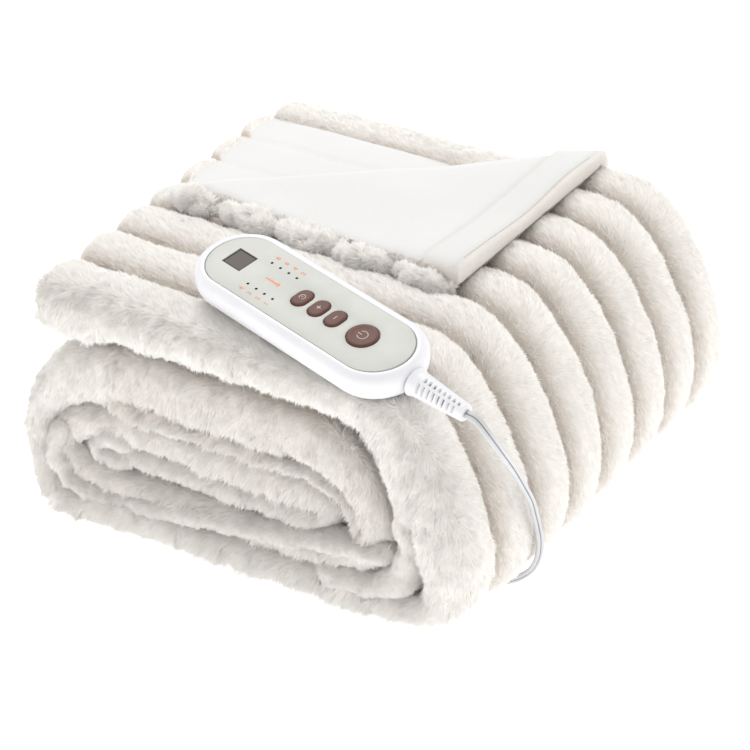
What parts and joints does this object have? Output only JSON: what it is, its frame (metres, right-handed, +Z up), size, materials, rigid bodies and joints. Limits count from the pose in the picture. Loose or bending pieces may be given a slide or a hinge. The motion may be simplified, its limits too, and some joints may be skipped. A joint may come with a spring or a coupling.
{
  "type": "electric heated throw blanket, folded and rolled",
  "caption": "Folded and rolled heated fur throw with channel ribs, a turned-back corner and a wired hand control with push buttons on top.",
  "frame": {"origin": "centre of the flat underside, where the roll rests", "axes": "+Z up; +X along the ribs of the top layer, from the loose end to the rounded turn; +Y along the axis of the roll, from the open spiral face to the hemmed back"},
  "size_m": [0.3352, 0.3273, 0.185],
  "materials": {
    "fur": "short dense pile",
    "white_plastic": "satin",
    "face_plastic": "fine matt",
    "brown_plastic": "satin",
    "display_plastic": "glossy"
  },
  "bodies": {
    "throw": {"blanket": "fur", "housing": "white_plastic", "faceplate": "face_plastic", "display_window": "display_plastic", "strain_relief": "white_plastic", "lead": "white_plastic"},
    "button_1_body": {"button_1": "brown_plastic"},
    "button_2_body": {"button_2": "brown_plastic"},
    "button_3_body": {"button_3": "brown_plastic"},
    "power_button_body": {"power_button": "brown_plastic"}
  },
  "joints": [
    {"name": "button_1_press", "type": "slide", "parent": "throw", "child": "button_1_body", "axis": [-0.0446, 0.2237, -0.9736], "range_m": [0, 0.0008], "stiffness_N_per_m": 800},
    {"name": "button_2_press", "type": "slide", "parent": "throw", "child": "button_2_body", "axis": [-0.0446, 0.2237, -0.9736], "range_m": [0, 0.0008], "stiffness_N_per_m": 800},
    {"name": "button_3_press", "type": "slide", "parent": "throw", "child": "button_3_body", "axis": [-0.0446, 0.2237, -0.9736], "range_m": [0, 0.0008], "stiffness_N_per_m": 800},
    {"name": "power_button_press", "type": "slide", "parent": "throw", "child": "power_button_body", "axis": [-0.0446, 0.2237, -0.9736], "range_m": [0, 0.0008], "stiffness_N_per_m": 800}
  ]
}
